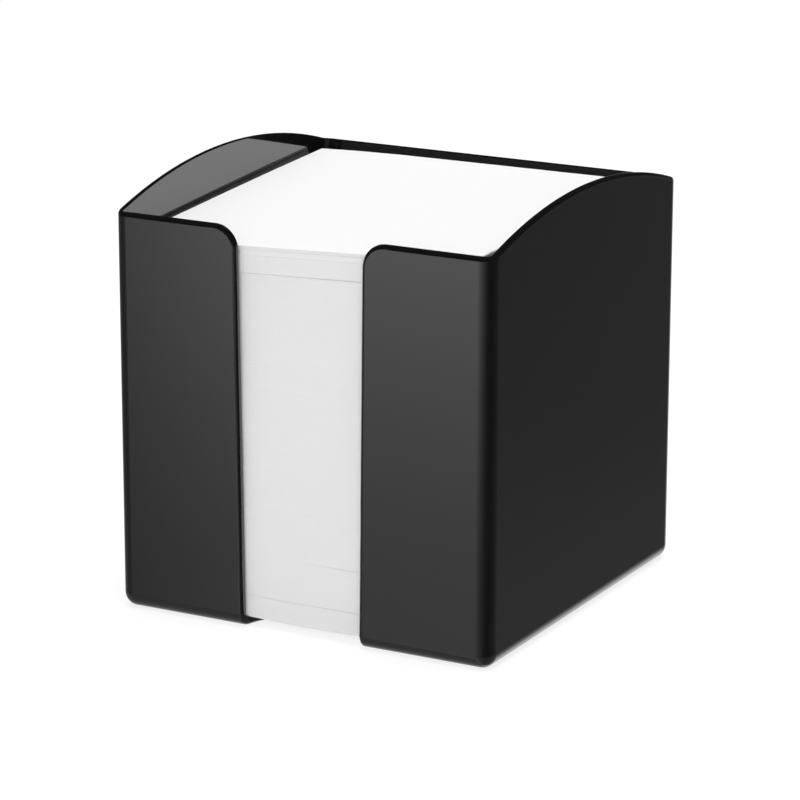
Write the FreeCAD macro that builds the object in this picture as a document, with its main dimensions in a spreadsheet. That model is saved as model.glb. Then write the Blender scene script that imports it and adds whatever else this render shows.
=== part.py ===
import FreeCAD, Part
import math
import os

import Sketcher

# A desk note box: one moulded plastic shell, open at the top, with a thumb slot through its front wall
# and floor, and a refill of loose square notes that stands in it.
# Millimetres. The origin is at the middle of the underside, +Z is up and the front faces -Y.

doc = FreeCAD.newDocument("note_box")

SIZES = {
    # refill
    "note_width": 90,  # square notes
    "note_pitch": 0.1159,  # one note and the air above it
    "stack_rise": 3.5,  # how much higher a full refill stands at its rear edge than at its front edge
    # shell
    "room": 6.4,  # how much wider and deeper than the notes the inside is, at the floor
    "wall_foot": 1.8,  # wall at the floor
    "wall_rim": 1.5,  # wall at the rim, thinner because the inside is drafted
    "floor_thickness": 2.5,
    "end_height": 97.5,  # front and rear walls
    "arch_rise": 7.5,  # how much higher the middle of the side walls is
    "arch_blend": 12,  # radius between an end wall's level top and the arch
    "outer_radius": 3.5,  # upright corners and bottom edges
    "inner_radius": 1.2,  # upright corners inside
    "floor_radius": 1.0,  # where the walls meet the floor inside
    "outer_rim_radius": 1.0,  # outer edge of the rim, the slot and the notch
    "inner_rim_radius": 0.3,  # their inner edge
    # thumb slot, narrower towards the floor
    "slot_top_width": 33.2,
    "slot_foot_width": 31.2,
    "slot_corner_radius": 6,
    # place of the refill in the shell
    "front_gap": 0.25,  # from the front wall to the foremost notes
    "foot_gap": 0.1,  # from the rounding along the floor to the lowest notes
    "side_shift": -1.2,  # the refill stands a little left of the middle
}

# The refill from the floor up: notes in the bundle, and how far it lies to the right and to the rear.
BUNDLES = [
    (49, 0.1, 0),
    (88, -0.2, 0.2),
    (84, 0.15, 0.1),
    (15, 0.3, 0.3),
    (78, -0.1, 0.05),
    (13, 0.2, 0.25),
    (27, -0.25, 0.1),
    (138, 0.1, 0.15),
    (62, -0.15, 0.05),
    (189, 0.2, 0.2),
    (38, 0, 0.05),
    (12, 0.25, 0.2),
]
LOOSE_NOTES = [
    (0.1, 0.1),
    (0.4, 0.25),
    (0.05, 0.05),
    (0.3, 0.3),
    (-0.1, 0.15),
    (0.2, 0.1),
    (0, 0.2),
]

refill = []
for number, (notes, right, rear) in enumerate(BUNDLES, 1):
    refill.append((f"note_bundle_{number:02d}", notes, right, rear))
for number, (right, rear) in enumerate(LOOSE_NOTES, 1):
    refill.append((f"loose_note_{number}", 1, right, rear))
for label, notes, right, rear in refill:
    SIZES[f"{label}_notes"] = notes
    SIZES[f"{label}_right"] = right
    SIZES[f"{label}_rear"] = rear

sheet = doc.addObject("Spreadsheet::Sheet", "sizes")
for row, (name, value) in enumerate(SIZES.items(), 1):
    sheet.set(f"A{row}", name)
    sheet.set(f"B{row}", str(value))
    sheet.setAlias(f"B{row}", name)
doc.recompute()

# Measures that several features share, as expressions on the sheet.
HALF_INNER = "((sizes.note_width + sizes.room) / 2)"
HALF_OUTER = f"({HALF_INNER} + sizes.wall_foot)"
HALF_RIM_INNER = f"({HALF_OUTER} - sizes.wall_rim)"
CREST_HEIGHT = "(sizes.end_height + sizes.arch_rise)"
ARCH_RADIUS = f"(({HALF_RIM_INNER} ^ 2 + sizes.arch_rise ^ 2) / (2 * sizes.arch_rise))"
SLOT_LEAN = "((sizes.slot_top_width - sizes.slot_foot_width) / 2 / sizes.end_height)"
ALL_NOTES = "(" + " + ".join(f"sizes.{label}_notes" for label, *rest in refill) + ")"

CLEAR = 5  # how far a cutting tool reaches past the solid
NEAR = 0.01  # two heights closer than this are one
SHARP = 5  # two faces that turn by more than this, in degrees, meet at a sharp edge


def plane_of(body, role):
    return next(item for item in body.Origin.OriginFeatures if item.Role == role)


def new_sketch(body, name, role, offset=None):
    """A sketch on one of the body's own origin planes, lifted by the expression offset."""
    sketch = body.newObject("Sketcher::SketchObject", name)
    sketch.AttachmentSupport = [(plane_of(body, role), "")]
    sketch.MapMode = "FlatFace"
    if offset:
        sketch.setExpression("AttachmentOffset.Base.z", offset)
    return sketch


def bind(sketch, kind, elements, expression):
    """A dimension of the sketch that follows an expression."""
    index = sketch.addConstraint(Sketcher.Constraint(kind, *elements, 1.0))
    sketch.setExpression(f"Constraints[{index}]", expression)


def add_outline(sketch, corners, bulge=None):
    """Closed outline through corners, each a pair of expressions. With bulge, an arc anticlockwise from
    the last corner to the first takes the place of the last edge, about bulge times its chord high."""
    lines = len(corners) - 1 if bulge else len(corners)
    rough = [FreeCAD.Vector(index, index**2, 0) for index in range(lines + 1)]
    for index in range(lines):
        sketch.addGeometry(Part.LineSegment(rough[index], rough[index + 1]), False)
    for index in range(lines - 1):
        sketch.addConstraint(Sketcher.Constraint("Coincident", index, 2, index + 1, 1))
    if not bulge:
        sketch.addConstraint(Sketcher.Constraint("Coincident", lines - 1, 2, 0, 1))
    for index, (across, up) in enumerate(corners):
        point = (index, 1) if index < lines else (lines - 1, 2)
        bind(sketch, "DistanceX", (-1, 1, *point), across)
        bind(sketch, "DistanceY", (-1, 1, *point), up)
    doc.recompute()
    if bulge:
        start = sketch.Geometry[lines - 1].EndPoint
        end = sketch.Geometry[0].StartPoint
        chord = end - start
        middle = (start + end) / 2 + FreeCAD.Vector(chord.y, -chord.x, 0) * bulge
        sketch.addGeometry(Part.Arc(start, middle, end), False)
        sketch.addConstraint(Sketcher.Constraint("Coincident", lines - 1, 2, lines, 1))
        sketch.addConstraint(Sketcher.Constraint("Coincident", lines, 2, 0, 1))


def add_square(sketch, half):
    low = f"-{half}"
    add_outline(sketch, [(low, low), (half, low), (half, half), (low, half)])


def add_feature(body, kind, name, **settings):
    """A PartDesign feature, computed at once. A text setting is an expression, unless it names a choice."""
    feature = body.newObject(f"PartDesign::{kind}", name)
    for key, value in settings.items():
        if isinstance(value, str) and key not in ("Type", "SideType"):
            feature.setExpression(key, value)
        else:
            setattr(feature, key, value)
    doc.recompute()
    return feature


def add_fillet(body, name, radius, wanted):
    """Rounds every edge of the body so far for which wanted(shape, edge) is true."""
    base = body.Tip
    shape = base.Shape
    edges = [f"Edge{index}" for index, edge in enumerate(shape.Edges, 1) if wanted(shape, edge)]
    add_feature(body, "Fillet", name, Base=(base, edges), Radius=radius)


def middle_of(edge):
    return edge.valueAt((edge.FirstParameter + edge.LastParameter) / 2)


def run_of(edge):
    """From one end of the edge to the other."""
    ends = [edge.valueAt(edge.FirstParameter), edge.valueAt(edge.LastParameter)]
    return ends[1] - ends[0]


def is_sharp(shape, edge):
    """True where the two faces that share the edge turn by more than SHARP."""
    middle = middle_of(edge)
    normals = []
    for face in shape.ancestorsOfType(edge, Part.Face):
        across, along = face.Surface.parameter(middle)
        normals.append(face.normalAt(across, along))
    return len(normals) == 2 and math.degrees(normals[0].getAngle(normals[1])) > SHARP


def is_upright(shape, edge):
    """True for a sharp edge that climbs far more than it runs sideways."""
    run = run_of(edge)
    return is_sharp(shape, edge) and abs(run.z) > 10 * math.hypot(run.x, run.y)


def is_arch_foot(shape, edge):
    """True for the kinks between the level tops and the arch, which cross the shell."""
    run = run_of(edge)
    crosses = abs(run.x) > 10 * math.hypot(run.y, run.z)
    return is_sharp(shape, edge) and crosses and abs(middle_of(edge).y) < shape.BoundBox.YMax - NEAR


def is_level(edge, height):
    return all(abs(vertex.Z - height) < NEAR for vertex in edge.Vertexes)


def is_underside_edge(shape, edge):
    return is_level(edge, 0)


def is_floor_edge(shape, edge):
    return is_sharp(shape, edge) and is_level(edge, SIZES["floor_thickness"])


def is_panel_corner(shape, edge):
    """True for the top corners of the slot, where an edge runs through the front wall."""
    run = run_of(edge)
    middle = middle_of(edge)
    through = abs(run.y) > abs(run.x) and abs(run.y) > abs(run.z)
    beside_slot = middle.y < 0 and abs(middle.x) < SIZES["slot_top_width"]
    return is_sharp(shape, edge) and through and beside_slot and middle.z > SIZES["end_height"] - NEAR


def is_inner_wall(face):
    """True for an upright flat face that looks towards the middle."""
    normal = face.normalAt(0, 0)
    faces_inwards = abs(normal.z) < NEAR and normal.dot(face.CenterOfMass) < 0
    return isinstance(face.Surface, Part.Plane) and faces_inwards


def is_inner_floor(face):
    height = face.CenterOfMass.z
    return isinstance(face.Surface, Part.Plane) and abs(height - SIZES["floor_thickness"]) < NEAR


def is_outer_rim(shape, edge):
    """True for a sharp edge on the outside of the shell, from the rim down the slot to the notch."""
    widest = shape.BoundBox.XMax - NEAR
    outside = any(max(abs(vertex.X), abs(vertex.Y)) > widest for vertex in edge.Vertexes)
    return is_sharp(shape, edge) and (outside or middle_of(edge).z < SIZES["floor_thickness"] - NEAR)


def cut_top(body):
    """Level tops on the end walls and an arch between them on the side walls."""
    outline = new_sketch(body, "top_outline", "YZ_Plane")
    above = f"({CREST_HEIGHT} + {CLEAR})"
    outside = f"({HALF_OUTER} + {CLEAR})"
    corners = [
        (f"-{HALF_RIM_INNER}", "sizes.end_height"),
        (f"-{outside}", "sizes.end_height"),
        (f"-{outside}", above),
        (outside, above),
        (outside, "sizes.end_height"),
        (HALF_RIM_INNER, "sizes.end_height"),
    ]
    add_outline(outline, corners, bulge=0.1)
    bind(outline, "Radius", (len(corners) - 1,), ARCH_RADIUS)
    add_feature(body, "Pocket", "top_cut", Profile=outline, Type="ThroughAll", SideType="Symmetric")
    widest = f"(0.9 * sizes.wall_rim * {HALF_RIM_INNER} / sizes.arch_rise)"  # the blend ends inside the wall
    add_fillet(body, "arch_blends", f"min(sizes.arch_blend; {widest})", is_arch_foot)


def cut_inside(body):
    """The inside, square at the floor and drafted so that the shell leaves its mould."""
    floor = new_sketch(body, "inside_at_floor", "XY_Plane", "sizes.floor_thickness")
    add_square(floor, HALF_INNER)
    pocket = add_feature(body, "Pocket", "inside", Profile=floor, Type="ThroughAll", Reversed=True)
    faces = list(enumerate(pocket.Shape.Faces, 1))
    walls = [f"Face{index}" for index, face in faces if is_inner_wall(face)]
    floors = [f"Face{index}" for index, face in faces if is_inner_floor(face)]
    lean = f"atan((sizes.wall_foot - sizes.wall_rim) / ({CREST_HEIGHT} - sizes.floor_thickness))"
    drafted = {"Base": (pocket, walls), "NeutralPlane": (pocket, floors)}
    add_feature(body, "Draft", "inside_draft", Angle=lean, **drafted)
    add_fillet(body, "inner_corners", "sizes.inner_radius", is_upright)
    add_fillet(body, "floor_edges", "sizes.floor_radius", is_floor_edge)


def cut_thumb_slot(body):
    """A steep cone upright in the middle of the front face: the slot through the wall and, below it, the
    half round notch in the floor."""
    cone = body.newObject("PartDesign::SubtractiveCone", "thumb_cut")
    cone.AttachmentSupport = [(plane_of(body, "XY_Plane"), "")]
    cone.MapMode = "FlatFace"
    cone.setExpression("AttachmentOffset.Base.y", f"-{HALF_OUTER}")
    cone.setExpression("AttachmentOffset.Base.z", f"-{CLEAR}")
    cone.setExpression("Radius1", f"sizes.slot_foot_width / 2 - {SLOT_LEAN} * {CLEAR}")
    cone.setExpression("Radius2", f"sizes.slot_foot_width / 2 + {SLOT_LEAN} * ({CREST_HEIGHT} + {CLEAR})")
    cone.setExpression("Height", f"{CREST_HEIGHT} + 2 * {CLEAR}")
    doc.recompute()
    add_fillet(body, "panel_corners", "sizes.slot_corner_radius", is_panel_corner)


def make_note_box():
    body = doc.addObject("PartDesign::Body", "note_box")
    footprint = new_sketch(body, "footprint", "XY_Plane")
    add_square(footprint, HALF_OUTER)
    add_feature(body, "Pad", "block", Profile=footprint, Length=CREST_HEIGHT)
    cut_top(body)
    add_fillet(body, "outer_corners", "sizes.outer_radius", is_upright)
    add_fillet(body, "underside_edges", "sizes.outer_radius", is_underside_edge)
    cut_inside(body)
    cut_thumb_slot(body)
    add_fillet(body, "outer_rim", "min(sizes.outer_rim_radius; 0.67 * sizes.wall_rim)", is_outer_rim)
    add_fillet(body, "inner_rim", "min(sizes.inner_rim_radius; 0.25 * sizes.wall_rim)", is_sharp)
    return body


def parting_height(below, end, rear):
    """Height of the plane above the lowest notes, where a bundle shifted by rear has its front (end -0.5)
    or its rear (end 0.5) edge. All partings fan out from the floor, each one plane for both bundles."""
    place = f"({end} + {rear} / sizes.note_width)"
    rise = f"({place} * sizes.stack_rise / {ALL_NOTES})"
    return f"(sizes.floor_thickness + {below} * (sizes.note_pitch + {rise}))"


def make_notes(index):
    """Bundle or single note number index of the refill: a wedge between two partings."""
    label = refill[index][0]
    below = "(" + " + ".join(["0"] + [f"sizes.{lower}_notes" for lower, *rest in refill[:index]]) + ")"
    above = f"({below} + sizes.{label}_notes)"
    rear = f"sizes.{label}_rear"
    if index == 0:
        rear = f"({rear} + sizes.floor_radius - sizes.front_gap + sizes.foot_gap)"
    front_face = f"({rear} + sizes.front_gap - {HALF_INNER})"
    rear_face = f"({front_face} + sizes.note_width)"

    body = doc.addObject("PartDesign::Body", label)
    side = new_sketch(body, f"{label}_side", "YZ_Plane")
    corners = [
        (front_face, parting_height(below, "-0.5", rear)),
        (rear_face, parting_height(below, "0.5", rear)),
        (rear_face, parting_height(above, "0.5", rear)),
        (front_face, parting_height(above, "-0.5", rear)),
    ]
    add_outline(side, corners)
    add_feature(body, "Pad", f"{label}_paper", Profile=side, Length="sizes.note_width", SideType="Symmetric")
    body.setExpression("Placement.Base.x", f"sizes.side_shift + sizes.{label}_right")
    return body


pieces = [make_note_box()]
for index in range(len(refill)):
    pieces.append(make_notes(index))
doc.recompute()

for item in doc.Objects:
    if "Invalid" in item.State or "Error" in item.State:
        raise RuntimeError(f"{item.Name} failed: {item.State}")
for piece in pieces:
    if piece.Shape.isNull() or not piece.Shape.isValid():
        raise RuntimeError(f"{piece.Label} has no valid shape")

os.makedirs("parts", exist_ok=True)
for piece in pieces:
    piece.Shape.exportStep(f"parts/{piece.Label}.step")
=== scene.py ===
"""Looks of the note box: glossy black moulding, a refill of single modelled notes, floor, lamps and camera.

Metres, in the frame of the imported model: +Z up, the front faces -Y, the origin under the middle of the box.
"""

import math
import random
from collections import namedtuple

import bpy
from mathutils import Matrix, Vector


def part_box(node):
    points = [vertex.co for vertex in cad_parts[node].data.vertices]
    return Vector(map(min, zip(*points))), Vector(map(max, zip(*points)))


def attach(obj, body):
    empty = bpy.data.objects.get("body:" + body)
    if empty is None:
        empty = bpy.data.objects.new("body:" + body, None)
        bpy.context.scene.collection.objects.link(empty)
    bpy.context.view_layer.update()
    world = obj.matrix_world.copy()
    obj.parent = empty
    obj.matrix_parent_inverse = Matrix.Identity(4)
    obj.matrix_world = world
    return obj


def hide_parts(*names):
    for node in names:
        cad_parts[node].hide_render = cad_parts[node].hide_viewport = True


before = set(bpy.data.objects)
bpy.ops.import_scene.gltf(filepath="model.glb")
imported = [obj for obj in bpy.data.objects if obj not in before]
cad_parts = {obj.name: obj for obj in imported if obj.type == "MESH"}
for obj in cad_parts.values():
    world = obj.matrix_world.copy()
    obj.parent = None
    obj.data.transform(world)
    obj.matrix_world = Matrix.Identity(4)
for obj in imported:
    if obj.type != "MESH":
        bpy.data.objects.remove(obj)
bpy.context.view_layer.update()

MM = 0.001
SEED = 7

# Camera: where it stands, how it turns in degrees and how long its lens is, for a square picture.
CAMERA_PLACE = Vector((411.4, -761.5, 288.1)) * MM
CAMERA_AZIMUTH = 28.4
CAMERA_ELEVATION = 15.62
CAMERA_ROLL = 0.1
FOCAL_OVER_WIDTH = 3693.3 / 800
SENSOR = 36.0  # millimetres wide

# Light: the studio that the gloss mirrors is the sum of a bright part, a dim part and one that is alike all
# around. Each pair is an angle in degrees and a level. AROUND counts to the right from straight ahead of the
# box, BY_HEIGHT up from the horizon, and the two levels of a part are multiplied.
BRIGHT_AROUND = (
    (-60, 0), (-34, 0.19), (-31, 0.6), (-27, 0.73), (-20, 0.54), (6, 0.28), (38, 0.04), (60, 0),
)
BRIGHT_BY_HEIGHT = (
    (-30, 0.38), (-19.5, 0.43), (-17.9, 0.48), (-15.7, 0.71), (-12.9, 1.12), (-4, 0.8), (3, 0),
)
DIM_AROUND = (
    (-180, 0.4), (-130, 0.14), (-40, 0.04), (0, 0.015), (75, 0.01), (110, 0.032), (135, 0.052),
    (156, 0.055), (170, 0.38), (180, 0.38),
)
DIM_BY_HEIGHT = ((-30, 1.6), (-19, 1.5), (-15.7, 1), (-5, 0.7), (3, 0))
EVEN_BY_HEIGHT = (
    (-45, 0.12), (-24, 0.08), (-20.5, 0.02), (-12, 0.02), (-7, 0.06), (0, 0.04), (4, 0.02),
)
ALL_AROUND = 180  # AROUND reaches this many degrees to either side
ALL_HEIGHTS = 45  # BY_HEIGHT reaches this many degrees up and down
SKY_LEVEL = 0.32  # the world's level for diffuse light

# Studio floor
FLOOR_SIZE = 30
FLOOR_COLOUR = (0.82, 0.82, 0.82, 1)  # as it lights the object
FLOOR_COLOUR_IN_VIEW = (0.28, 0.28, 0.28, 1)  # as the camera sees it,
FLOOR_GLOW_IN_VIEW = 0.8  # with this much light of its own: nearly white, with a faint shadow

# Notes
NOTE_WIDTH = 90 * MM
NOTE_PITCH = 0.1159 * MM  # from one note to the next
SHEET = 0.1 * MM  # thickness of one note
CELLS_ACROSS = 8
CELLS_DEEP = 4
SLOT_HALF_WIDTH = 16 * MM
BUNDLE_SPREAD = 0.012 * MM  # how far a note in a bundle is out of line with the next,
LOOSE_SPREAD = 0.05 * MM  # how far a loose one is,
TURN_SPREAD = 0.0004  # and how far each is turned, in radians
FRONT_TILT = 0.050  # the top of the stack climbs this much per metre to the right at its front edge
REAR_TILT = 0.006  # and this much at its rear edge
SAG = 0.55 * MM  # how far the lowest notes hang into the notch,
SAG_FADES_OVER = 9 * MM  # fading over this height,
SAG_HALF_WIDTH = 16 * MM  # this far to the sides,
SAG_FADES_BACK = 6  # and by this power of e from the front edge to the rear
DROP = 0.55 * MM  # how far the rear left corner of the upper notes hangs down,
DROP_WIDTH = 28 * MM  # up to this far from the left edge
DROP_FADES_OVER = 14 * MM  # and this far below the top
FAN_OUT = 1.5 * MM  # the notes a little below the top lie this much further left,
FAN_DEPTH = 2.2 * MM  # most at this depth,
FAN_SPREAD = 1.8 * MM  # fading over this much above and below it
FOOT_BACK = 0.5 * MM  # the lowest note keeps back this far from the rounding along the floor,
FOOT_HEIGHT = 1.0 * MM  # and the notes above it less, up to this height
# From the floor up, in millimetres: the air above each bundle at the left and right of the slot, none where
# this is less than 0, and how far its front edge lies behind the foremost bundle there.
PARTINGS = (
    (0.07, 0.08, 0.18, 0.12),
    (-0.06, 0.10, 0.12, 0.07),
    (0.00, 0.00, 0.12, 0.02),
    (0.00, 0.00, 0.12, 0.02),
    (0.00, 0.00, 0.28, 0.09),
    (0.00, 0.00, 0.26, 0.09),
    (0.03, -0.03, 0.40, 0.14),
    (0.00, 0.00, 0.28, 0.13),
    (0.00, 0.00, 0.44, 0.18),
    (0.12, 0.15, 0.60, 0.24),
    (0.01, 0.01, 0.36, 0.12),
    (0.06, 0.06, 0.38, 0.14),
)
# The same two distances behind the foremost bundle, for the loose notes from the lowest up.
LOOSE_EDGES = (
    (0.28, 0.07),
    (0.26, 0.06),
    (0.30, 0.08),
    (0.28, 0.08),
    (0.36, 0.12),
    (0.34, 0.12),
    (0.38, 0.14),
)

BUNDLES = [f"note_bundle_{number:02d}" for number in range(1, 13)]
LOOSE_NOTES = [f"loose_note_{number}" for number in range(1, 8)]

NOISE_LOW, NOISE_HIGH = 0.3, 0.7  # a noise is seldom outside this range


# ---------------------------------------------------------------- nodes

def feed(tree, socket, value):
    """Wires an input to another node's output, or sets it to a plain value."""
    if isinstance(value, bpy.types.NodeSocket):
        tree.links.new(value, socket)
    else:
        socket.default_value = value


def combine(tree, kind, *parts):
    """Output of a new node whose first inputs are wired or set in order."""
    node = tree.nodes.new(kind)
    for socket, part in zip(node.inputs, parts):
        feed(tree, socket, part)
    return node.outputs[0]


def ray_kinds(tree):
    """Sockets that are 1 for rays from the camera, from a gloss and through glass."""
    outputs = tree.nodes.new("ShaderNodeLightPath").outputs
    return outputs["Is Camera Ray"], outputs["Is Glossy Ray"], outputs["Is Transmission Ray"]


def new_material(name):
    """A material, its node tree and a function that adds a node and feeds its inputs by name."""
    material = bpy.data.materials.new(name)
    material.use_nodes = True
    tree = material.node_tree
    tree.nodes.clear()

    def add(kind, output=None, **inputs):
        node = tree.nodes.new(kind)
        for key, value in inputs.items():
            feed(tree, node.inputs[key.replace("_", " ")], value)
        return node if output is None else node.outputs[output]

    return material, tree, add


# ---------------------------------------------------------------- materials

def mix(tree, factor, low, high):
    """Blend of two colours by a factor socket. Inputs 6 and 7 and output 2 of the node are its colours."""
    node = tree.nodes.new("ShaderNodeMix")
    node.data_type = "RGBA"
    tree.links.new(factor, node.inputs[0])
    node.inputs[6].default_value = (*low, 1)
    node.inputs[7].default_value = (*high, 1)
    return node.outputs[2]


def ramp(add, fac, low, high):
    """A noise mapped to the range low to high."""
    ends = {"From_Min": NOISE_LOW, "From_Max": NOISE_HIGH, "To_Min": low, "To_Max": high}
    return add("ShaderNodeMapRange", "Result", Value=fac, **ends)


def noise(add, place, scale, detail=2.0):
    return add("ShaderNodeTexNoise", "Fac", Vector=place, Scale=scale, Detail=detail)


def black_plastic():
    """Polished polystyrene: a clear coat, with slight waves and a finer grain in it."""
    material, tree, add = new_material("black_polystyrene")
    place = add("ShaderNodeTexCoord", "Object")
    cloud = noise(add, place, 35.0)
    grain = noise(add, place, 2600.0, 4.0)
    waves = noise(add, place, 45.0)
    colour = mix(tree, cloud, (0.0030, 0.0030, 0.0032), (0.0044, 0.0043, 0.0045))
    roughness = ramp(add, cloud, 0.045, 0.075)
    flow = add("ShaderNodeBump", "Normal", Strength=0.02, Distance=0.0005, Height=waves)
    skin = add("ShaderNodeBump", "Normal", Strength=0.02, Distance=0.00002, Height=grain, Normal=flow)
    shader = add("ShaderNodeBsdfPrincipled", Base_Color=colour, Roughness=roughness, Normal=skin)
    shader.inputs["IOR"].default_value = 1.59
    shader.inputs["Coat Weight"].default_value = 0.9
    shader.inputs["Coat Roughness"].default_value = 0.04
    shader.inputs["Coat IOR"].default_value = 1.6
    add("ShaderNodeOutputMaterial", Surface=shader.outputs[0])
    return material


def note_paper():
    """Uncoated white paper, with fibres in its colour and its bump."""
    material, tree, add = new_material("note_paper")
    place = add("ShaderNodeTexCoord", "Object")
    fibres = noise(add, place, 1800.0, 5.0)
    cloud = noise(add, place, 90.0)
    colour = mix(tree, fibres, (0.845, 0.845, 0.85), (0.89, 0.89, 0.895))
    roughness = ramp(add, cloud, 0.72, 0.82)
    bump = add("ShaderNodeBump", "Normal", Strength=0.15, Distance=0.00002, Height=fibres)
    shader = add("ShaderNodeBsdfPrincipled", Base_Color=colour, Roughness=roughness, Normal=bump)
    shader.inputs["IOR"].default_value = 1.45
    add("ShaderNodeOutputMaterial", Surface=shader.outputs[0])
    return material


# ---------------------------------------------------------------- notes

Wedge = namedtuple("Wedge", "left right front rear low_front high_front low_rear high_rear")


def wedge(node):
    """Edges of a CAD bundle or loose note, and the heights of its faces at the front and rear."""
    points = [vertex.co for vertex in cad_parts[node].data.vertices]
    low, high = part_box(node)
    middle = (low.y + high.y) / 2
    front = [point.z for point in points if point.y < middle]
    rear = [point.z for point in points if point.y > middle]
    return Wedge(low.x, high.x, low.y, high.y, min(front), max(front), min(rear), max(rear))


TOP_FRONT = wedge(LOOSE_NOTES[-1]).high_front
TOP_REAR = wedge(LOOSE_NOTES[-1]).high_rear
STACK_FOOT = wedge(BUNDLES[0]).low_front
STACK_LEFT = wedge(BUNDLES[0]).left
STACK_FRONT = wedge(BUNDLES[0]).front
FOREMOST = min(wedge(node).front for node in BUNDLES)


def bend(x, y, z):
    """How far a point of a note is raised from its flat wedge: the stack climbs to the right, sags into the
    notch and hangs down at its rear left corner."""
    share = (z - STACK_FOOT) / (TOP_FRONT - STACK_FOOT)
    depth = (y - STACK_FRONT) / NOTE_WIDTH
    tilt = FRONT_TILT + (REAR_TILT - FRONT_TILT) * depth
    hang = math.exp(-(z - STACK_FOOT) / SAG_FADES_OVER) * math.exp(-((x / SAG_HALF_WIDTH) ** 2))
    hang *= math.exp(-depth * SAG_FADES_BACK)
    corner = max(0, (DROP_WIDTH - x + STACK_LEFT) / DROP_WIDTH) ** 2 * max(0, depth) ** 3
    upper = max(0, 1 - (TOP_REAR - z) / DROP_FADES_OVER)
    return share * tilt * x - SAG * hang - DROP * corner * upper


def sheet_mesh(grid_low, grid_high):
    """Vertices and faces of one closed note between two grids of points."""
    columns = CELLS_ACROSS + 1
    rows = CELLS_DEEP + 1
    points = grid_low + grid_high
    count = columns * rows
    faces = []
    for row in range(CELLS_DEEP):
        for column in range(CELLS_ACROSS):
            corner = row * columns + column
            quad = (corner, corner + 1, corner + columns + 1, corner + columns)
            faces.append(tuple(reversed(quad)))
            faces.append(tuple(index + count for index in quad))
    rim = list(range(columns))
    rim += [row * columns + CELLS_ACROSS for row in range(1, rows)]
    rim += [CELLS_DEEP * columns + column for column in reversed(range(CELLS_ACROSS))]
    rim += [row * columns for row in reversed(range(1, CELLS_DEEP))]
    for index, here in enumerate(rim):
        following = rim[(index + 1) % len(rim)]
        faces.append((here, following, following + count, here + count))
    return points, faces


def make_notes(node, count, air_left, air_right, edge_left, edge_right, spread, material):
    """Replaces a CAD bundle by its single notes, each a little out of line with the next."""
    left, right, front, rear, low_front, high_front, low_rear, high_rear = wedge(node)
    edge = FOREMOST - front + (edge_left + edge_right) / 2 * MM
    skew = (edge_right - edge_left) * MM / (2 * SLOT_HALF_WIDTH)
    chance = random.Random(f"{SEED} {node}")
    vertices, faces = [], []
    for number in range(count):
        height = low_front + (high_front - low_front) * number / count
        fan = FAN_OUT * math.exp(-(((TOP_FRONT - height - FAN_DEPTH) / FAN_SPREAD) ** 2))
        foot = FOOT_BACK * max(0, 1 - (height - STACK_FOOT) / FOOT_HEIGHT) ** 2
        aside = chance.gauss(0, spread) - fan
        back = abs(chance.gauss(0, spread)) + edge + foot
        turn = chance.gauss(0, TURN_SPREAD) + skew
        grids = []
        for face in (0, 1):
            grid = []
            for row in range(CELLS_DEEP + 1):
                deep = row / CELLS_DEEP
                bottom = low_front + (low_rear - low_front) * deep
                top = high_front + (high_rear - high_front) * deep
                for column in range(CELLS_ACROSS + 1):
                    x = left + (right - left) * column / CELLS_ACROSS
                    air = air_left + (air_right - air_left) * (x / SLOT_HALF_WIDTH + 1) / 2
                    gap = max(0, air * MM) * (1 - deep)
                    share = (top - gap - bottom) / (top - bottom) * number / count
                    level = bottom + (top - bottom) * share + face * SHEET
                    x += aside
                    y = front + (rear - front) * deep + back
                    x, y = x - turn * y, y + turn * x
                    grid.append((x, y, level + bend(x, y, level)))
            grids.append(grid)
        points, quads = sheet_mesh(*grids)
        start = len(vertices)
        vertices += points
        faces += [tuple(index + start for index in quad) for quad in quads]
    mesh = bpy.data.meshes.new(f"{node}_sheets")
    mesh.from_pydata(vertices, [], faces)
    mesh.materials.append(material)
    piece = bpy.data.objects.new(f"{node}_sheets", mesh)
    bpy.context.scene.collection.objects.link(piece)
    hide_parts(node)
    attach(piece, node)


# ---------------------------------------------------------------- stage

def add_floor():
    """A pale floor that takes the shadow. The gloss looks through it at the studio."""
    material, tree, add = new_material("floor")
    seen, in_gloss, seen_through = ray_kinds(tree)
    lit = add("ShaderNodeBsdfDiffuse", "BSDF", Color=FLOOR_COLOUR)
    lit_in_view = add("ShaderNodeBsdfDiffuse", "BSDF", Color=FLOOR_COLOUR_IN_VIEW)
    glow = add("ShaderNodeEmission", "Emission", Strength=FLOOR_GLOW_IN_VIEW)
    clear = add("ShaderNodeBsdfTransparent", "BSDF")
    in_view = combine(tree, "ShaderNodeAddShader", lit_in_view, glow)
    surface = combine(tree, "ShaderNodeMixShader", in_gloss, lit, clear)
    surface = combine(tree, "ShaderNodeMixShader", seen_through, surface, in_view)
    surface = combine(tree, "ShaderNodeMixShader", seen, surface, in_view)
    add("ShaderNodeOutputMaterial", Surface=surface)
    bpy.ops.mesh.primitive_plane_add(size=FLOOR_SIZE)
    floor = bpy.context.object
    floor.name = "floor"
    floor.data.materials.append(material)


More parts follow.
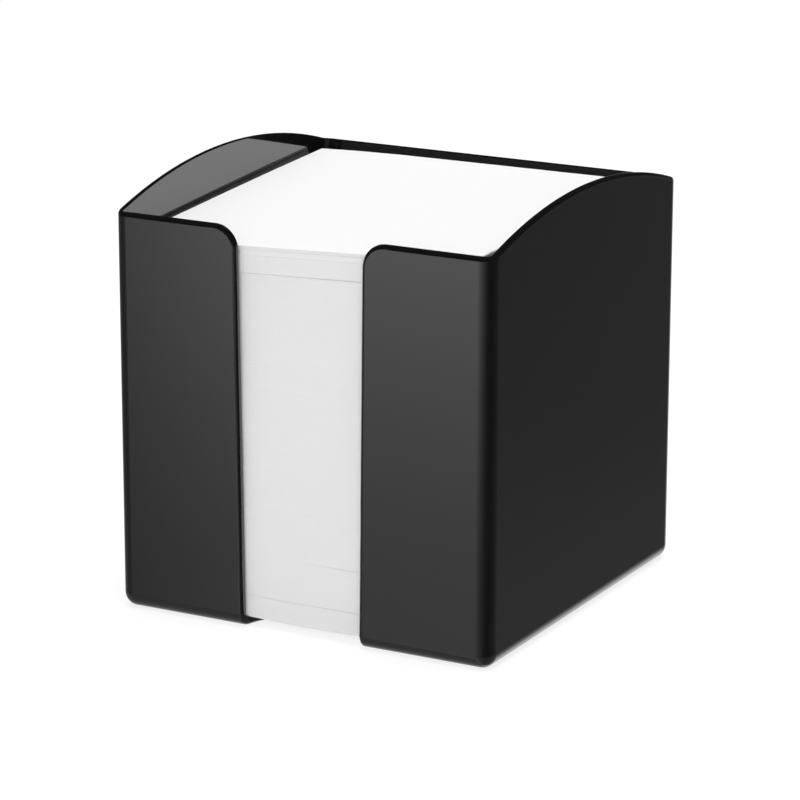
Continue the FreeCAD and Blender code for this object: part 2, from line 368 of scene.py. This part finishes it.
def add_world():
    """White in view, an even sky on the object, and in its gloss a studio that is brightest where the
    photograph shows it: ahead and to the left, just below the horizon."""
    world = bpy.data.worlds.new("studio")
    bpy.context.scene.world = world
    world.use_nodes = True
    tree = world.node_tree

    def maths(operation, first, second=0.0):
        node = tree.nodes.new("ShaderNodeMath")
        node.operation = operation
        feed(tree, node.inputs[0], first)
        feed(tree, node.inputs[1], second)
        return node.outputs[0]

    def level_at(angle, levels, reach):
        """Level for an angle in radians, between the given pairs of degrees and level."""
        share = maths("DIVIDE", maths("SUBTRACT", maths("DEGREES", angle), -reach), 2 * reach)
        node = tree.nodes.new("ShaderNodeValToRGB")
        stops = node.color_ramp.elements
        while len(stops) < len(levels):
            stops.new(0.5)  # moved to its place below
        for stop, (degrees, level) in zip(stops, levels):
            stop.position = (degrees + reach) / (2 * reach)
            stop.color = (level, level, level, 1)
        tree.links.new(share, node.inputs[0])
        return node.outputs[0]

    def choose(factor, otherwise, chosen):
        """The chosen level where the factor is 1. Inputs 2 and 3 of the node are its plain numbers."""
        node = tree.nodes.new("ShaderNodeMix")
        node.data_type = "FLOAT"
        tree.links.new(factor, node.inputs[0])
        feed(tree, node.inputs[2], otherwise)
        feed(tree, node.inputs[3], chosen)
        return node.outputs[0]

    direction = tree.nodes.new("ShaderNodeSeparateXYZ")
    tree.links.new(tree.nodes.new("ShaderNodeTexCoord").outputs["Generated"], direction.inputs[0])
    right, rear, up = direction.outputs
    around = maths("ARCTAN2", right, maths("MULTIPLY", rear, -1.0))
    height = maths("ARCSINE", up)
    bright_around = level_at(around, BRIGHT_AROUND, ALL_AROUND)
    bright = maths("MULTIPLY", bright_around, level_at(height, BRIGHT_BY_HEIGHT, ALL_HEIGHTS))
    dim_around = level_at(around, DIM_AROUND, ALL_AROUND)
    dim = maths("MULTIPLY", dim_around, level_at(height, DIM_BY_HEIGHT, ALL_HEIGHTS))
    studio = maths("ADD", maths("ADD", bright, dim), level_at(height, EVEN_BY_HEIGHT, ALL_HEIGHTS))

    seen, in_gloss, seen_through = ray_kinds(tree)
    strength = choose(in_gloss, SKY_LEVEL, studio)
    strength = choose(seen_through, strength, 1.0)
    strength = choose(seen, strength, 1.0)
    background = tree.nodes["Background"]
    background.inputs["Color"].default_value = (1, 1, 1, 1)
    tree.links.new(strength, background.inputs["Strength"])


def add_lamp(name, place, target, size, power):
    """A square lamp, in metres and watts, that faces the target and isn't mirrored in the gloss."""
    data = bpy.data.lights.new(name, "AREA")
    data.shape = "SQUARE"
    data.size = size
    data.energy = power
    lamp = bpy.data.objects.new(name, data)
    lamp.location = place
    lamp.visible_glossy = False
    lamp.rotation_euler = (Vector(target) - Vector(place)).to_track_quat("-Z", "Y").to_euler()
    bpy.context.scene.collection.objects.link(lamp)


def add_camera():
    """The camera at the photograph's viewing angle."""
    azimuth, elevation, roll = (math.radians(a) for a in (CAMERA_AZIMUTH, CAMERA_ELEVATION, CAMERA_ROLL))
    ahead = Vector((
        -math.sin(azimuth) * math.cos(elevation),
        math.cos(azimuth) * math.cos(elevation),
        -math.sin(elevation),
    ))
    level = Vector((math.cos(azimuth), math.sin(azimuth), 0))
    upward = level.cross(ahead)
    right = level * math.cos(roll) + upward * math.sin(roll)
    up = upward * math.cos(roll) - level * math.sin(roll)
    data = bpy.data.cameras.new("camera")
    data.sensor_width = SENSOR
    data.lens = FOCAL_OVER_WIDTH * SENSOR
    data.clip_start = 0.01
    data.clip_end = 100
    camera = bpy.data.objects.new("camera", data)
    turn = Matrix((right, up, -ahead)).transposed().to_4x4()
    camera.matrix_world = Matrix.Translation(CAMERA_PLACE) @ turn
    bpy.context.scene.collection.objects.link(camera)
    bpy.context.scene.camera = camera


# ---------------------------------------------------------------- build

plastic = black_plastic()
paper = note_paper()

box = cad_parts["note_box"]
for entry in box.material_slots:
    entry.material = plastic

for node, parting in zip(BUNDLES, PARTINGS):
    block = wedge(node)
    thickness = (block.high_front - block.low_front + block.high_rear - block.low_rear) / 2
    make_notes(node, round(thickness / NOTE_PITCH), *parting, BUNDLE_SPREAD, paper)
for node, edges in zip(LOOSE_NOTES, LOOSE_EDGES):
    make_notes(node, 1, 0, 0, *edges, LOOSE_SPREAD, paper)

add_floor()
add_world()
add_lamp("key", place=(0.6, -1.38, 0.68), target=(0, 0, 0.05), size=1.0, power=12.5)
add_lamp("top", place=(0.1, 0.05, 1.4), target=(0, 0, 0.1), size=0.8, power=13.3)
add_camera()

bpy.context.scene.view_settings.view_transform = "Standard"
